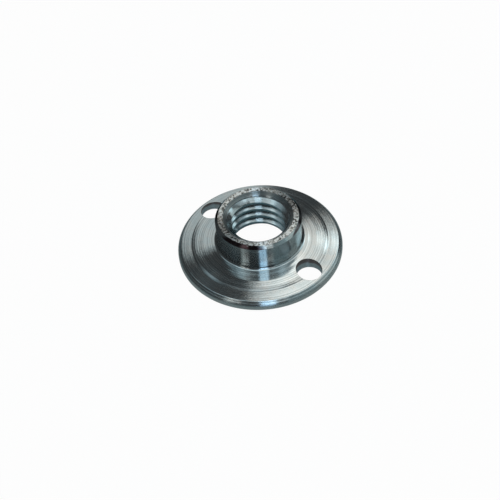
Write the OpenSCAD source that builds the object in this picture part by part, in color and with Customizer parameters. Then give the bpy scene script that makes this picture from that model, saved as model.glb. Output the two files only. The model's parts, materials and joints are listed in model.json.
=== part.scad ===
// Flanged lock nut, turned from one steel bar and zinc plated.
// It lies on the flat outer face of its flange, with the hub up.
// Z is the axis of the thread, and the origin is the middle of the flat face.
// The two pin holes lie on X. All sizes are in millimetres.

/* [Flange] */
// Outer diameter of the flange
flange_d = 41.3; // [38:0.1:50]
// Height of the rim's upright side, from the flat face to the bevel
rim_side_h = 1.35; // [0.8:0.05:3]
// Width and height of the bevel between the rim's side and the clamping face
rim_bevel = 0.95; // [0.3:0.05:1.2]
// Width and height of the broken edge round the flat face
rim_edge_break = 0.2; // [0.05:0.05:0.5]
// Slope of the clamping face, which rises from the rim to the hub, in degrees
face_slope = 8.5; // [0:0.5:15]

/* [Hub] */
// Diameter of the hub, which centres the disc
hub_d = 21.3; // [20:0.1:24]
// Height of the whole nut
nut_h = 11.1; // [8:0.1:20]
// Width and height of the bevel round the hub's top
hub_bevel = 0.75; // [0.2:0.05:0.9]
// Radius of the fillet between the hub and the clamping face
hub_fillet_r = 0.9; // [0.2:0.05:1.0]

/* [Thread] */
// Major diameter of the thread, 5/8 inch
thread_d = 15.875; // [12:0.125:17]
// Turns of the thread in one inch
thread_tpi = 11; // [8:1:20]
// Angle about the axis at which the middle of the thread's groove meets the flat face, in degrees
thread_start = 34; // [-180:2:180]
// How much wider the hub's mouth is than the thread
mouth_margin = 1.5; // [0.2:0.1:2]
// Included angle of the mouth's countersink, in degrees
mouth_angle = 90; // [60:5:140]
// How much wider the bore is than the thread at the flat face
back_margin = 0.1; // [0.1:0.1:1.5]
// Included angle of the countersink in the flat face, in degrees
back_angle = 90; // [60:5:120]

/* [Pin holes] */
// Number of holes for the pin spanner
pin_hole_count = 2; // [2:2:4]
// Diameter of a pin hole
pin_hole_d = 6.4; // [5:0.1:7]
// Metal left between a pin hole and the rim's side
pin_rim_w = 1.45; // [1.2:0.05:2.4]

/* [Hidden] */
$fn = 180;
ZINC = [0.62, 0.66, 0.68];
MM_PER_INCH = 25.4;
// Depth of an inch or metric thread's two flanks, as a share of its pitch
THREAD_DEPTH_SHARE = 1.082532;
// Width of the thread's crest as a share of its pitch, twice the real one,
// so that the crests make up a full wall at the minor diameter
CREST_SHARE = 1 / 2;
// Width of the flat at the root of the groove
ROOT_W = 0.1;
// Included angle of the thread's flanks
THREAD_ANGLE = 60;
// Sections of the thread's groove in one turn
GROOVE_STEPS = 48;
// How far the groove's cutter starts inside the minor diameter
GROOVE_OVERLAP = 0.3;
// How far a cut runs past the face that it opens
CLEAR = 1;

flange_r = flange_d / 2;
hub_r = hub_d / 2;
face_edge_r = flange_r - rim_bevel;
face_edge_z = rim_side_h + rim_bevel;
function face_z(r) = face_edge_z + (face_edge_r - r) * tan(face_slope);

pitch = MM_PER_INCH / thread_tpi;
thread_minor_r = (thread_d - THREAD_DEPTH_SHARE * pitch) / 2;
mouth_r = (thread_d + mouth_margin) / 2;
mouth_depth = (mouth_r - thread_minor_r) / tan(mouth_angle / 2);
back_r = (thread_d + back_margin) / 2;
back_depth = (back_r - thread_minor_r) / tan(back_angle / 2);
pin_circle_r = flange_r - pin_rim_w - pin_hole_d / 2;

// Half sections: X is the radius and Y the height.

module flange_section() {
    polygon([
        [0, 0],
        [flange_r - rim_edge_break, 0],
        [flange_r, rim_edge_break],
        [flange_r, rim_side_h],
        [face_edge_r, face_edge_z],
        [hub_r, face_z(hub_r)],
        [0, face_z(hub_r)]
    ]);
}

module hub_section() {
    polygon([
        [0, 0],
        [hub_r, 0],
        [hub_r, nut_h - hub_bevel],
        [hub_r - hub_bevel, nut_h],
        [0, nut_h]
    ]);
}

// The metal between the hub's side, the sloping face and a circle that touches both.
module fillet_section() {
    middle_r = hub_r + hub_fillet_r;
    middle_z = face_z(middle_r) + hub_fillet_r / cos(face_slope);
    difference() {
        polygon([
            [hub_r, middle_z],
            [hub_r, face_z(hub_r)],
            [middle_r - hub_fillet_r * sin(face_slope), middle_z - hub_fillet_r * cos(face_slope)],
            [middle_r, middle_z]
        ]);
        translate([middle_r, middle_z]) circle(r = hub_fillet_r);
    }
}

module turned_blank() {
    rotate_extrude() {
        flange_section();
        hub_section();
        fillet_section();
    }
}

// Section of the thread's groove. Each corner is [radius, height above its middle].
groove_slope = tan(THREAD_ANGLE / 2);
groove_half_w = (1 - CREST_SHARE) / 2 * pitch;
groove_r = thread_minor_r + (groove_half_w - ROOT_W / 2) / groove_slope;
groove_section = [
    [thread_minor_r - GROOVE_OVERLAP, -groove_half_w - GROOVE_OVERLAP * groove_slope],
    [groove_r, -ROOT_W / 2],
    [groove_r, ROOT_W / 2],
    [thread_minor_r - GROOVE_OVERLAP, groove_half_w + GROOVE_OVERLAP * groove_slope]
];
groove_turns = ceil(nut_h / pitch) + 2;

// One corner of the section, carried round a right-hand helix to step i.
function groove_point(i, corner) =
    let (angle = thread_start + 360 * i / GROOVE_STEPS, z = pitch * (i / GROOVE_STEPS - 1))
    [corner[0] * cos(angle), corner[0] * sin(angle), corner[1] + z];

// The groove of a right-hand thread, run out past both ends of the nut.
module thread_groove() {
    corners = len(groove_section);
    last = groove_turns * GROOVE_STEPS;
    polyhedron(
        points = [for (i = [0 : last]) for (corner = groove_section) groove_point(i, corner)],
        faces = concat(
            [[for (k = [corners - 1 : -1 : 0]) k], [for (k = [0 : corners - 1]) last * corners + k]],
            [for (i = [0 : last - 1]) for (k = [0 : corners - 1]) let (next = (k + 1) % corners)
                [i * corners + k, (i + 1) * corners + next, (i + 1) * corners + k]],
            [for (i = [0 : last - 1]) for (k = [0 : corners - 1]) let (next = (k + 1) % corners)
                [i * corners + k, i * corners + next, (i + 1) * corners + next]]
        )
    );
}

// A plain bore at the thread's minor diameter, countersunk at both ends.
module thread_bore() {
    translate([0, 0, -CLEAR]) cylinder(r = thread_minor_r, h = nut_h + 2 * CLEAR);
    translate([0, 0, nut_h - mouth_depth]) cylinder(r1 = thread_minor_r, r2 = mouth_r, h = mouth_depth);
    cylinder(r1 = back_r, r2 = thread_minor_r, h = back_depth);
}

module pin_holes() {
    for (i = [0 : pin_hole_count - 1])
        rotate([0, 0, i * 360 / pin_hole_count])
            translate([pin_circle_r, 0, -CLEAR])
                cylinder(d = pin_hole_d, h = nut_h + 2 * CLEAR);
}

module nut_body() {
    color(ZINC) difference() {
        turned_blank();
        thread_bore();
        thread_groove();
        pin_holes();
    }
}

nut_body();
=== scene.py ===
import json
import math
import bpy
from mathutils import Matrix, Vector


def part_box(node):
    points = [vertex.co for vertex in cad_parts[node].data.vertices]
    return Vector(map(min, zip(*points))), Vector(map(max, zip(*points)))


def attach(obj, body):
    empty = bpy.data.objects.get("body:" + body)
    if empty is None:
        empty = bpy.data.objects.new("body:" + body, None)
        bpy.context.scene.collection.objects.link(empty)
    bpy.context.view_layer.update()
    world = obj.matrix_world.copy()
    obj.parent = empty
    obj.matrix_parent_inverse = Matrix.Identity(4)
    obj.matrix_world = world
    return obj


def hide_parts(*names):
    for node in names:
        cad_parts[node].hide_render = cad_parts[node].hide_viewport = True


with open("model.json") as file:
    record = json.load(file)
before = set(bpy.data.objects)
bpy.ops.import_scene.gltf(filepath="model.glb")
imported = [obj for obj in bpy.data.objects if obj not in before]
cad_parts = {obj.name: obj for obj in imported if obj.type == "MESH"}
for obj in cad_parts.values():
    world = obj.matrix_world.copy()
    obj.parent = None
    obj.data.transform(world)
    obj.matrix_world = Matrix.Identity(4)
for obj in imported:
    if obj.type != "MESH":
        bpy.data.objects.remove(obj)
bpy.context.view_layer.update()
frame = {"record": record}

from types import SimpleNamespace

import bpy
from mathutils import Quaternion, Vector

# ---------------------------------------------------------------- sizes, in metres
MM = 0.001
LOW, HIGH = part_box("nut_body")
MOUNTS = {mount["name"]: mount for mount in frame["record"]["mounts"]}

FLANGE_R = HIGH.y
NUT_H = HIGH.z
HUB_R = MOUNTS["hub"]["dims"]["r_mm"] * MM
PIN_HOLE_R = MOUNTS["pin_holes"]["dims"]["hole_r_mm"] * MM
PIN_CIRCLE_R = MOUNTS["pin_holes"]["dims"]["pcd_mm"] * MM / 2
PIN_HOLES = MOUNTS["pin_holes"]["dims"]["count"]

RIM_SIDE_H = 1.35 * MM
RIM_BEVEL = 0.95 * MM
RIM_CORNER_R = 0.3 * MM
EDGE_BREAK = 0.2 * MM
FACE_SLOPE = math.radians(8.5)
HUB_BEVEL = 0.75 * MM
HUB_FILLET_R = 0.9 * MM

# 5/8-11 UNC thread
THREAD_R = 15.875 * MM / 2
PITCH = 25.4 * MM / 11
MINOR_R = MOUNTS["thread"]["dims"]["r_mm"] * MM
MOUTH_R = THREAD_R + 0.75 * MM
MOUTH_HALF_ANGLE = math.radians(45)
BACK_R = THREAD_R + 0.05 * MM
BACK_HALF_ANGLE = math.radians(45)
CREST_FLAT = PITCH / 4
ROOT_FLAT = PITCH / 8
# Angle about the axis at which the middle of the groove meets the flat face
THREAD_START = math.radians(34)
# Radius of the drilled hole before it is tapped, kept inside the tap
PILOT_R = MINOR_R - 0.4 * MM

FACE_EDGE_R = FLANGE_R - RIM_BEVEL
FACE_EDGE_Z = RIM_SIDE_H + RIM_BEVEL

TURN_STEPS = 240
TAP_STEPS = 160
DRILL_STEPS = 96
# Points nearer to each other than this become one
SAME_POINT = 1e-7
SHARP_ANGLE = math.radians(28)
CORNER_STEPS = 8


def face_z(r):
    """Height of the sloping clamping face at radius r."""
    return FACE_EDGE_Z + (FACE_EDGE_R - r) * math.tan(FACE_SLOPE)


# ---------------------------------------------------------------- modelling helpers
def deselect_all():
    bpy.ops.object.select_all(action="DESELECT")


def rounded(corners):
    """Points of an outline whose corners, each (r, z, radius), are rounded with arcs."""
    points = []
    for i, (r, z, radius) in enumerate(corners):
        here = Vector((r, z))
        if radius == 0:
            points.append(here)
            continue
        before = Vector(corners[i - 1][:2])
        after = Vector(corners[(i + 1) % len(corners)][:2])
        back = (before - here).normalized()
        ahead = (after - here).normalized()
        half = math.acos(max(-1, min(1, back.dot(ahead)))) / 2
        middle = here + (back + ahead).normalized() * (radius / math.sin(half))
        start = here + back * (radius / math.tan(half)) - middle
        sweep = math.pi - 2 * half
        sign = 1 if back.x * ahead.y - back.y * ahead.x < 0 else -1
        for step in range(CORNER_STEPS + 1):
            angle = sign * sweep * step / CORNER_STEPS
            c, s = math.cos(angle), math.sin(angle)
            points.append(middle + Vector((start.x * c - start.y * s, start.x * s + start.y * c)))
    return points


def draw_outline(name, points, closed):
    """A wire through points (r, z) in the XZ plane, extruded from a single vertex."""
    deselect_all()
    bpy.ops.mesh.primitive_plane_add(size=MM)
    obj = bpy.context.object
    obj.name = name
    bpy.ops.object.mode_set(mode="EDIT")
    bpy.ops.mesh.merge(type="CENTER")
    bpy.ops.transform.translate(value=(points[0].x, 0, points[0].y))
    for last, point in zip(points, points[1:]):
        step = point - last
        bpy.ops.mesh.extrude_region_move(TRANSFORM_OT_translate={"value": (step.x, 0, step.y)})
    if closed:
        bpy.ops.mesh.select_all(action="SELECT")
        bpy.ops.object.mode_set(mode="OBJECT")
        first_and_last = (0, len(obj.data.vertices) - 1)
        for vertex in obj.data.vertices:
            vertex.select = vertex.index in first_and_last
        for edge in obj.data.edges:
            edge.select = False
        bpy.ops.object.mode_set(mode="EDIT")
        bpy.ops.mesh.edge_face_add()
    bpy.ops.object.mode_set(mode="OBJECT")
    return obj


def apply_modifier(obj, kind, **settings):
    deselect_all()
    obj.select_set(True)
    bpy.context.view_layer.objects.active = obj
    bpy.ops.object.modifier_add(type=kind)
    modifier = obj.modifiers[-1]
    for key, value in settings.items():
        setattr(modifier, key, value)
    bpy.ops.object.modifier_apply(modifier=modifier.name)


def cut(obj, cutter):
    """Takes cutter out of obj and deletes it."""
    apply_modifier(obj, "BOOLEAN", operation="DIFFERENCE", solver="EXACT", object=cutter)
    bpy.data.objects.remove(cutter)


# ---------------------------------------------------------------- the nut
# Turned grooves in the clamping face: distance from the axis, width and depth
GROOVES = [
    (15.95 * MM, 0.16 * MM, 0.004 * MM),
    (17.50 * MM, 0.22 * MM, 0.008 * MM),
]


def face_points():
    """Points of the clamping face from the rim to the hub, with its grooves."""
    normal = Vector((math.sin(FACE_SLOPE), math.cos(FACE_SLOPE)))
    points = []
    for radius, width, depth in sorted(GROOVES, reverse=True):
        for across, down in ((0.5, 0), (0.3, 0.8), (0, 1), (-0.3, 0.8), (-0.5, 0)):
            r = radius + across * width
            points.append(Vector((r, face_z(r))) - normal * (down * depth))
    return points


def nut_outline():
    """Half section of the blank, anticlockwise from the countersink in the flat face."""
    mouth_depth = (MOUTH_R - PILOT_R) / math.tan(MOUTH_HALF_ANGLE)
    back_depth = (BACK_R - PILOT_R) / math.tan(BACK_HALF_ANGLE)
    lower = rounded([
        (PILOT_R, back_depth, 0),
        (BACK_R, 0, 0.1 * MM),
        (FLANGE_R - EDGE_BREAK, 0, 0.1 * MM),
        (FLANGE_R, EDGE_BREAK, 0.1 * MM),
        (FLANGE_R, RIM_SIDE_H, 1.3 * MM),
        (FACE_EDGE_R, FACE_EDGE_Z, RIM_CORNER_R),
        (HUB_R, face_z(HUB_R), HUB_FILLET_R),
        (HUB_R, NUT_H - HUB_BEVEL, 0.12 * MM),
        (HUB_R - HUB_BEVEL, NUT_H, 0.12 * MM),
        (MOUTH_R, NUT_H, 0.1 * MM),
        (PILOT_R, NUT_H - mouth_depth, 0),
    ])
    # The face's own points go in after the last point of the rim's rounded bevel
    rim_end = max(i for i, point in enumerate(lower) if point.x > FACE_EDGE_R - RIM_CORNER_R)
    return lower[:rim_end + 1] + face_points() + lower[rim_end + 1:]


def make_blank():
    blank = draw_outline("nut", nut_outline(), closed=True)
    bpy.ops.object.mode_set(mode="EDIT")
    bpy.ops.mesh.select_all(action="SELECT")
    bpy.ops.mesh.spin(steps=TURN_STEPS, angle=2 * math.pi, center=(0, 0, 0), axis=(0, 0, 1))
    bpy.ops.mesh.select_all(action="SELECT")
    bpy.ops.mesh.remove_doubles(threshold=SAME_POINT)
    bpy.ops.mesh.normals_make_consistent(inside=False)
    bpy.ops.object.mode_set(mode="OBJECT")
    return blank


def make_tap():
    """A tap of the thread's full form: one turn's outline, screwed up through the nut."""
    flank = (PITCH - CREST_FLAT - ROOT_FLAT) / 2
    below = 2 * PITCH
    turns = math.ceil((NUT_H + 2 * below) / PITCH)
    # One pitch, from the middle of one crest of the nut's thread to the middle of the next
    turn = rounded([
        (MINOR_R, -PITCH, 0),
        (MINOR_R, 0, 0),
        (MINOR_R, CREST_FLAT / 2, 0.07 * MM),
        (THREAD_R, CREST_FLAT / 2 + flank, 0.1 * MM),
        (THREAD_R, CREST_FLAT / 2 + flank + ROOT_FLAT, 0.1 * MM),
        (MINOR_R, PITCH - CREST_FLAT / 2, 0.07 * MM),
        (MINOR_R, PITCH, 0),
        (MINOR_R, 2 * PITCH, 0),
    ])[1:-1]
    start = Vector((0, -below))
    tap = draw_outline("tap", [point + start for point in turn], closed=False)
    apply_modifier(
        tap, "SCREW", axis="Z", angle=2 * math.pi * turns, screw_offset=PITCH * turns,
        steps=TAP_STEPS * turns, render_steps=TAP_STEPS * turns,
        use_merge_vertices=True, merge_threshold=SAME_POINT,
    )
    bpy.ops.object.mode_set(mode="EDIT")
    bpy.ops.mesh.select_all(action="SELECT")
    bpy.ops.mesh.remove_doubles(threshold=2e-6)
    # Each open end closes on a point of the axis
    bpy.ops.mesh.select_all(action="DESELECT")
    bpy.ops.mesh.select_mode(type="EDGE")
    bpy.ops.mesh.select_non_manifold(extend=False, use_wire=False, use_multi_face=False,
                                     use_non_contiguous=False, use_verts=False)
    bpy.ops.mesh.extrude_region_move(TRANSFORM_OT_translate={"value": (0, 0, 0)})
    bpy.ops.object.mode_set(mode="OBJECT")
    middle = NUT_H / 2
    top_end = max(v.co.z for v in tap.data.vertices)
    bottom_end = min(v.co.z for v in tap.data.vertices)
    for vertex in tap.data.vertices:
        if vertex.select:
            vertex.co = (0, 0, top_end if vertex.co.z > middle else bottom_end)
    bpy.ops.object.mode_set(mode="EDIT")
    bpy.ops.mesh.select_all(action="SELECT")
    bpy.ops.mesh.remove_doubles(threshold=SAME_POINT)
    bpy.ops.mesh.normals_make_consistent(inside=False)
    # The groove's middle meets the flat face at half a turn; a positive value turns it back
    bpy.ops.transform.rotate(value=math.pi - THREAD_START, orient_axis="Z", center_override=(0, 0, 0))
    bpy.ops.object.mode_set(mode="OBJECT")
    return tap


def make_drill(angle):
    deselect_all()
    place = (PIN_CIRCLE_R * math.cos(angle), PIN_CIRCLE_R * math.sin(angle), FACE_EDGE_Z)
    bpy.ops.mesh.primitive_cylinder_add(
        vertices=DRILL_STEPS, radius=PIN_HOLE_R, depth=4 * FACE_EDGE_Z, location=place
    )
    bpy.ops.object.transform_apply(location=True, rotation=True, scale=True)
    return bpy.context.object


def make_nut():
    nut = make_blank()
    cut(nut, make_tap())
    for hole in range(PIN_HOLES):
        cut(nut, make_drill(2 * math.pi * hole / PIN_HOLES))
    deselect_all()
    nut.select_set(True)
    bpy.context.view_layer.objects.active = nut
    bpy.ops.object.shade_smooth_by_angle(angle=SHARP_ANGLE)
    apply_modifier(nut, "WEIGHTED_NORMAL", mode="FACE_AREA", weight=100, keep_sharp=True)
    nut.name = "lock_nut"
    nut.data.name = "lock_nut"
    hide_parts("nut_body")
    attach(nut, "root")
    return nut


# ---------------------------------------------------------------- shader helpers
class Value:
    """A shader socket that takes part in arithmetic."""

    def __init__(self, tree, socket):
        self.tree = tree
        self.socket = socket

    def node(self, kind, inputs, output=0, **settings):
        """A node of that kind, with its settings, then the values or links of its sockets."""
        made = self.tree.nodes.new(kind)
        for key, value in settings.items():
            setattr(made, key, value)
        for key, value in inputs.items():
            if isinstance(value, Value):
                self.tree.links.new(value.socket, made.inputs[key])
            else:
                made.inputs[key].default_value = value
        return Value(self.tree, made.outputs[output]) if made.outputs else None

    def math(self, operation, *values):
        return self.node("ShaderNodeMath", dict(enumerate(values)), operation=operation)

    def vector(self, operation, *values, output=0):
        return self.node("ShaderNodeVectorMath", dict(enumerate(values)), output, operation=operation)

    def mix(self, factor, first, second):
        """The first colour where factor is 0, the second where it is 1."""
        return self.node("ShaderNodeMix", {0: factor, 6: first, 7: second}, 2, data_type="RGBA")

    def scaled(self, vector, factor):
        return self.node("ShaderNodeVectorMath", {0: vector, "Scale": factor}, operation="SCALE")

    def output(self, name):
        """Another output of the same node."""
        return Value(self.tree, self.socket.node.outputs[name])

    def over(self, edge, softness):
        """0 below edge - softness, 1 above edge + softness, smooth between them."""
        return self.node("ShaderNodeMapRange", {
            "Value": self, "From Min": edge - softness, "From Max": edge + softness,
        }, interpolation_type="SMOOTHSTEP")

    def spots(self, place, scale, detail):
        return self.node("ShaderNodeTexNoise", {
            "Vector": place, "Scale": scale, "Detail": detail,
        }, "Fac")

    def noise_line(self, along, scale, detail):
        return self.node("ShaderNodeTexNoise", {
            "W": along, "Scale": scale, "Detail": detail, "Roughness": 0.6,
        }, "Fac", noise_dimensions="1D")

    def __add__(self, other):
        return self.math("ADD", self, other)

    __radd__ = __add__

    def __sub__(self, other):
        return self.math("SUBTRACT", self, other)

    def __rsub__(self, other):
        return self.math("SUBTRACT", other, self)

    def __mul__(self, other):
        return self.math("MULTIPLY", self, other)

    __rmul__ = __mul__

    def __truediv__(self, other):
        return self.math("DIVIDE", self, other)

    def __pow__(self, other):
        return self.math("POWER", self, other)


def new_material(name):
    material = bpy.data.materials.new(name)
    material.use_nodes = True
    material.node_tree.nodes.clear()
    return material, Value(material.node_tree, None)


# ---------------------------------------------------------------- the zinc
# Bands of the face that the lathe tool left steeper, or flatter where the tilt is negative:
# radius, half width, and the tilt
BANDS = [
    (16.72 * MM, 0.40 * MM, 0.12),
    (17.62 * MM, 0.28 * MM, -0.045),
    (12.50 * MM, 1.65 * MM, -0.05),
    (12.25 * MM, 0.35 * MM, 0.05),
]
BAND_SOFTNESS = 0.15 * MM
# Near the hub the face is smoother, out to this radius
SMOOTH_R = 14.4 * MM
# Stretches of the hub's chamfer darkened with painted shade, for the dark reflections there: the direction
# of the middle, in degrees, the distance from the axis at which the stretch begins, its softness, and how
# dark it is
CHAMFER_PAINTED_SHADES = [
    (-72, 9.0 * MM, 0.5 * MM, 1),
    (22, 10.0 * MM, 0.12 * MM, 0.9),
]
# Near-black colour of the painted shade on the hub's chamfer
CHAMFER_SHADE_COLOUR = (0.07, 0.045, 0.05, 1)
WALL_BROWN = (0.22, 0.16, 0.15, 1)
# Height in the pin holes above which their walls are brown, and how far it wanders
BROWN_FROM_Z = 1.7 * MM
BROWN_WANDER = 1.5 * MM
# Turning lines to the millimetre, then spots to the metre
LINE_SCALE = 3.4
HAIR_SCALE = 14
PATCH_SCALE = 420
SPECKLE_SCALE = 2300
GRAIN_SCALE = 3800


def pin_hole_walls(x, y):
    """1 on the walls of the pin holes."""
    walls = 0
    for hole in range(PIN_HOLES):
        angle = 2 * math.pi * hole / PIN_HOLES
        off_x = x - PIN_CIRCLE_R * math.cos(angle)
        off_y = y - PIN_CIRCLE_R * math.sin(angle)
        from_middle = (off_x * off_x + off_y * off_y) ** 0.5
        walls = (-1 * from_middle).over(-PIN_HOLE_R - 0.03 * MM, 0.02 * MM) + walls
    return walls


def nut_places(make):
    """Where a point lies on the nut: its coordinates, then 1 on each part of the surface."""
    at = SimpleNamespace()
    at.place = make.node("ShaderNodeTexCoord", {}, "Object")
    parts = make.node("ShaderNodeSeparateXYZ", {0: at.place})
    at.x, at.y, at.z = parts.output("X"), parts.output("Y"), parts.output("Z")
    at.r = (at.x * at.x + at.y * at.y) ** 0.5
    at.normal = make.node("ShaderNodeNewGeometry", {}, "Normal")
    at.around = make.vector("NORMALIZE", make.node("ShaderNodeCombineXYZ", {"X": -1 * at.y, "Y": at.x}))
    at.across = make.vector("CROSS_PRODUCT", at.normal, at.around)

    in_mouth = (MOUTH_R + 0.1 * MM - at.r).over(0, 0.02 * MM)
    at.cone = in_mouth * at.z.over(NUT_H - 0.8 * MM, 0.4 * MM)
    at.on_top = at.z.over(NUT_H - 0.06 * MM, 0.04 * MM)
    above_foot = at.z.over(face_z(HUB_R) + 0.3 * MM, 0.2 * MM)
    at.hub_side = at.r.over(HUB_R - 0.1 * MM, 0.05 * MM) * above_foot
    at.rim = at.r.over(FACE_EDGE_R + 0.1 * MM, 0.1 * MM)
    at.by_hub = (-1 * at.r).over(-SMOOTH_R, 0.5 * MM) * at.r.over(HUB_R, 0.1 * MM)
    facing_up = make.node("ShaderNodeSeparateXYZ", {0: at.normal}, "Z").over(0.93, 0.02)
    past_foot = at.r.over(HUB_R + 0.4 * MM, 0.1 * MM)
    at.on_face = (-1 * at.r).over(-FACE_EDGE_R, 0.1 * MM) * past_foot * facing_up
    at.hole_wall = pin_hole_walls(at.x, at.y)
    return at


def add_patterns(make, at):
    """Turning lines, counted in millimetres across the surface, and spots of three sizes."""
    along = (at.r + 1.7 * at.z) / MM
    at.lines = make.noise_line(along, LINE_SCALE, 3) - 0.5
    at.hair = make.noise_line(along, HAIR_SCALE, 1) - 0.5
    at.patches = make.spots(at.place, PATCH_SCALE, 3)
    at.grain = make.spots(at.place, GRAIN_SCALE, 2)
    at.speckle = make.spots(at.place, SPECKLE_SCALE, 4)


def zinc_normal(make, at):
    """Rings tilt the surface across the lines, grain tilts it along them, and the top is rough."""
    tilt = (at.lines * 0.13 + at.hair * 0.2) * (1 - 0.6 * at.on_top) * (1 - 0.8 * at.by_hub)
    for radius, half, slope in BANDS:
        band = (-1 * make.math("ABSOLUTE", at.r - radius)).over(-half, BAND_SOFTNESS)
        tilt = tilt - band * at.on_face * slope
    wander = (at.grain - 0.5) * 0.07 * (1 - 0.6 * at.hub_side - 0.5 * at.by_hub)
    tilted = make.vector("ADD", at.normal, make.scaled(at.across, tilt))
    tilted = make.vector("ADD", tilted, make.scaled(at.around, wander))
    tilted = make.vector("NORMALIZE", tilted)
    return make.node("ShaderNodeBump", {
        "Strength": (at.on_top + at.cone) * 0.5, "Distance": 0.03 * MM,
        "Height": at.speckle, "Normal": tilted,
    }, "Normal")


def zinc_tint(make, value, red, green, blue):
    return make.node("ShaderNodeCombineColor", {
        "Red": value * red, "Green": value * green, "Blue": value * blue,
    }, mode="RGB")


def chamfer_painted_shade(at):
    """Painted shade: the chamfer of the hub is darkened over part of its way round, for the dark
    reflections there.
    """
    below_top = at.z.over(NUT_H - HUB_BEVEL, 0.03 * MM)
    chamfer = at.r.over(HUB_R - HUB_BEVEL - 0.03 * MM, 0.03 * MM) * below_top
    shade_total = 0
    for direction, begin, softness, darkness in CHAMFER_PAINTED_SHADES:
        direction = math.radians(direction)
        towards = at.x * math.cos(direction) + at.y * math.sin(direction)
        shade_total = towards.over(begin, softness) * darkness + shade_total
    return chamfer * shade_total * (0.55 + 0.45 * (at.speckle - 0.35).over(0, 0.1))


def zinc_colour(make, at):
    """Blue zinc with brown stains, painted shade on the hub's chamfer and in the bore's mouth, painted
    light on the hub's top, and the brown walls of the pin holes.
    """
    value = 0.56 + at.lines * 0.7 + at.hair * 0.2 + (at.patches - 0.5) * 0.14
    # The hub's top is mottled and lifted by 0.24 as painted light; the countersink in the bore's mouth is
    # darkened by 0.25 as painted shade
    value = value + at.on_top * ((at.speckle - 0.5) * 5.0 + 0.24) - at.cone * 0.25
    blue = zinc_tint(make, value, 0.92, 1, 1.02)
    brown = zinc_tint(make, value, 0.98, 0.91, 0.85)
    stain = at.on_top * 0.7 + (at.patches - 0.52).over(0, 0.1) * 0.3
    colour = make.mix(stain, blue, brown)
    # Painted shade over part of the hub's chamfer
    colour = make.mix(chamfer_painted_shade(at), colour, CHAMFER_SHADE_COLOUR)
    # The walls of the pin holes are brown at the top, and keep their zinc below
    browned = (at.z + (at.patches - 0.5) * BROWN_WANDER).over(BROWN_FROM_Z, 0.35 * MM)
    return make.mix(at.hole_wall * (0.15 + 0.8 * browned), colour, WALL_BROWN)


def zinc_material():
    """Blue zinc on turned steel: rings round the axis, a wide sheen across them, small stains, and painted
    shade and light in places.
    """
    material, make = new_material("blue_zinc")
    at = nut_places(make)
    add_patterns(make, at)
    roughness = 0.13 + at.on_top * 0.3 + at.cone * 0.24 + at.hub_side * 0.05
    roughness = roughness + at.hole_wall * 0.2 + at.rim * 0.1 - at.by_hub * at.on_face * 0.05
    surface = make.node("ShaderNodeBsdfPrincipled", {
        "Base Color": zinc_colour(make, at), "Metallic": 1.0, "Roughness": roughness,
        "Normal": zinc_normal(make, at), "Anisotropic": 1.0, "Anisotropic Rotation": 0.25,
    })
    make.node("ShaderNodeOutputMaterial", {"Surface": surface})
    return material


# ---------------------------------------------------------------- the studio
# Softboxes on the tent's inside: azimuth and height of the middle, half width and half height,
# all in degrees, then the colour of the light. They add up where they overlap.
SOFTBOXES = [
    (-40, 60, 7.5, 6, (2.1, 2.8, 3.3)),
    (-45, 82, 30, 12, (0.8, 0.95, 1.0)),
    (105, 55, 12, 17, (0.84, 0.84, 0.80)),
    (125, 69, 7, 14, (0.66, 0.68, 0.66)),
    (110, 53, 4, 9, (0.35, 0.35, 0.33)),
    (97, 43, 10, 3.5, (0.8, 1.0, 1.05)),
    (76, 37, 12, 5, (0.9, 1.2, 1.3)),
    (46, 22, 22, 14, (0.52, 0.62, 0.62)),
    (3, 25, 18, 14, (0.28, 0.38, 0.40)),
    (-40.5, 28, 7.5, 9.5, (1.65, 2.5, 3.3)),
    (-25, 42, 9, 4.5, (1.15, 1.22, 1.22)),
    (-85, 41, 6, 4, (1.6, 1.6, 1.55)),
    (145.8, 30.2, 12.0, 18.0, (0.56, 0.61, 0.61)),
    (52, 57, 20, 10, (0.36, 0.46, 0.50)),
    (-142, 56, 20, 10, (0.30, 0.40, 0.44)),
    (-90, 26, 4.5, 13, (0.52, 0.57, 0.55)),
]
# Half width of a softbox's soft edge, in degrees
EDGE_SOFTNESS = 2.5
TENT_GREY = (0.055, 0.060, 0.062)
TENT_R = 0.8


def tent_material():
    """A dark glow all round, with the softboxes' light added where each one stands."""
    material, make = new_material("tent")
    out = make.vector("NORMALIZE", make.node("ShaderNodeTexCoord", {}, "Object"))
    light = make.node("ShaderNodeCombineXYZ", dict(enumerate(TENT_GREY)))
    for azimuth, height, half_width, half_height, colour in SOFTBOXES:
        azimuth, height = math.radians(azimuth), math.radians(height)
        middle = (math.cos(height) * math.cos(azimuth), math.cos(height) * math.sin(azimuth),
                  math.sin(height))
        side = (-math.sin(azimuth), math.cos(azimuth), 0)
        up = Vector(middle).cross(Vector(side))
        ahead = make.vector("DOT_PRODUCT", out, middle, output=1)
        inside = 1
        for axis, half in ((side, half_width), (tuple(up), half_height)):
            off = make.math("ARCTAN2", make.vector("DOT_PRODUCT", out, axis, output=1), ahead)
            off = make.math("ABSOLUTE", off)
            inside = inside * (-1 * off).over(-math.radians(half), math.radians(EDGE_SOFTNESS))
        light = make.vector("ADD", light, make.scaled(colour, inside))
    glow = make.node("ShaderNodeEmission", {"Color": light, "Strength": 1})
    make.node("ShaderNodeOutputMaterial", {"Surface": glow})
    return material


def make_tent():
    """A dark tent with softboxes, out of the camera's sight, for the metal to reflect."""
    deselect_all()
    bpy.ops.mesh.primitive_uv_sphere_add(segments=96, ring_count=48, radius=TENT_R)
    tent = bpy.context.object
    tent.name = "tent"
    bpy.ops.object.mode_set(mode="EDIT")
    bpy.ops.mesh.select_all(action="SELECT")
    bpy.ops.mesh.bisect(plane_co=(0, 0, -1 * MM), plane_no=(0, 0, 1), clear_inner=True)
    bpy.ops.object.mode_set(mode="OBJECT")
    tent.data.materials.append(tent_material())
    tent.visible_camera = False


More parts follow.
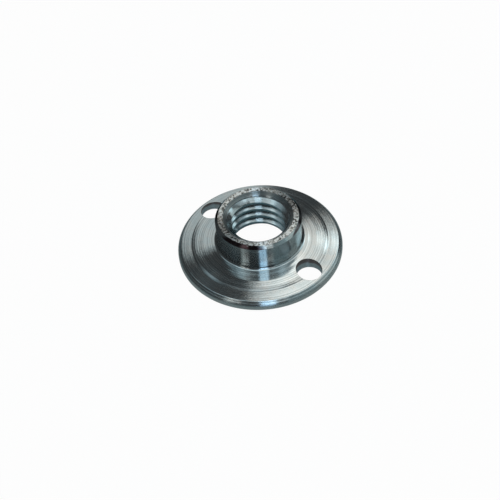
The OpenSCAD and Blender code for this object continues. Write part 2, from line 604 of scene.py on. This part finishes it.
# What the mat gives off: round the flange's edge, further out, and under the pin holes
MAT_NEAR = (0.19, 0.18, 0.16)
MAT_FAR = (0.08, 0.14, 0.16)
MAT_IN_HOLES = (0.14, 0.15, 0.15)


def mat_material():
    """A dim glow in rings round the nut, which its rim and the walls of its pin holes mirror."""
    material, make = new_material("table_mat")
    place = make.node("ShaderNodeTexCoord", {}, "Object")
    parts = make.node("ShaderNodeSeparateXYZ", {0: place})
    x, y = parts.output("X"), parts.output("Y")
    r = (x * x + y * y) ** 0.5
    near = (-1 * r).over(-1.25 * FLANGE_R, 0.08 * FLANGE_R) * r.over(0.97 * FLANGE_R, 0.03 * FLANGE_R)
    far = (-1 * r).over(-1.7 * FLANGE_R, 0.1 * FLANGE_R)
    in_holes = (-1 * r).over(-0.94 * FLANGE_R, 0.01 * FLANGE_R) * r.over(0.6 * FLANGE_R, 0.01 * FLANGE_R)
    light = make.scaled(MAT_NEAR, near)
    light = make.vector("ADD", light, make.scaled(MAT_FAR, far))
    light = make.vector("ADD", light, make.scaled(MAT_IN_HOLES, in_holes))
    glow = make.node("ShaderNodeEmission", {"Color": light, "Strength": 1})
    make.node("ShaderNodeOutputMaterial", {"Surface": glow})
    return material


def make_mat():
    """The dark mat under the nut, seen only in the metal."""
    deselect_all()
    bpy.ops.mesh.primitive_circle_add(
        vertices=160, radius=TENT_R, fill_type="NGON", location=(0, 0, 0.02 * MM)
    )
    mat = bpy.context.object
    mat.name = "table_mat"
    mat.data.materials.append(mat_material())
    mat.visible_camera = False
    mat.visible_diffuse = False
    mat.visible_shadow = False


# Share of the floor's look that is plain white, the rest being its shaded surface
WHITE_SHARE = 0.97


def floor_material():
    """White where the camera or the metal looks at it, with a trace of shade."""
    material, make = new_material("white_floor")
    rays = make.node("ShaderNodeLightPath", {})
    seen = rays.output("Is Camera Ray") + rays.output("Is Glossy Ray") + rays.output("Is Transmission Ray")
    lit = make.node("ShaderNodeBsdfDiffuse", {"Color": (0.9, 0.9, 0.9, 1)})
    white = make.node("ShaderNodeEmission", {"Color": (1, 1, 1, 1), "Strength": 1})
    surface = make.node("ShaderNodeMixShader", {0: seen * WHITE_SHARE, 1: lit, 2: white})
    make.node("ShaderNodeOutputMaterial", {"Surface": surface})
    return material


def make_floor():
    deselect_all()
    bpy.ops.mesh.primitive_plane_add(size=3, location=(0, 0, 0))
    floor = bpy.context.object
    floor.name = "floor"
    floor.data.materials.append(floor_material())


def make_camera():
    """The viewpoint: its place round the nut, its distance, its roll, and where the nut's origin shows."""
    azimuth, elevation = math.radians(44.7), math.radians(47.6)
    distance = 12.2 * FLANGE_R
    roll = math.radians(4.15)
    frame_px, focal_px = 500, 1000
    origin_px = (260.3, 246.4)
    back = Vector((
        math.sin(azimuth) * math.cos(elevation),
        -math.cos(azimuth) * math.cos(elevation),
        math.sin(elevation),
    ))
    data = bpy.data.cameras.new("camera")
    data.sensor_width = 36
    data.lens = data.sensor_width * focal_px / frame_px
    data.clip_start, data.clip_end = 0.01, 10
    camera = bpy.data.objects.new("camera", data)
    bpy.context.collection.objects.link(camera)
    to_origin = Vector((
        (origin_px[0] - frame_px / 2) / focal_px, -(origin_px[1] - frame_px / 2) / focal_px, -1,
    ))
    aim = (-back).to_track_quat("-Z", "Y") @ Quaternion((0, 0, 1), -roll)
    camera.rotation_mode = "QUATERNION"
    camera.rotation_quaternion = aim @ to_origin.rotation_difference(Vector((0, 0, -1)))
    camera.location = back * distance
    bpy.context.scene.camera = camera


def make_world():
    world = bpy.data.worlds.new("studio")
    bpy.context.scene.world = world
    world.use_nodes = True
    world.node_tree.nodes.clear()
    make = Value(world.node_tree, None)
    white = make.node("ShaderNodeBackground", {"Color": (1, 1, 1, 1), "Strength": 1})
    make.node("ShaderNodeOutputWorld", {"Surface": white})


nut = make_nut()
nut.data.materials.clear()
nut.data.materials.append(zinc_material())
make_camera()
make_floor()
make_tent()
make_mat()
make_world()
bpy.context.scene.view_settings.view_transform = "Standard"
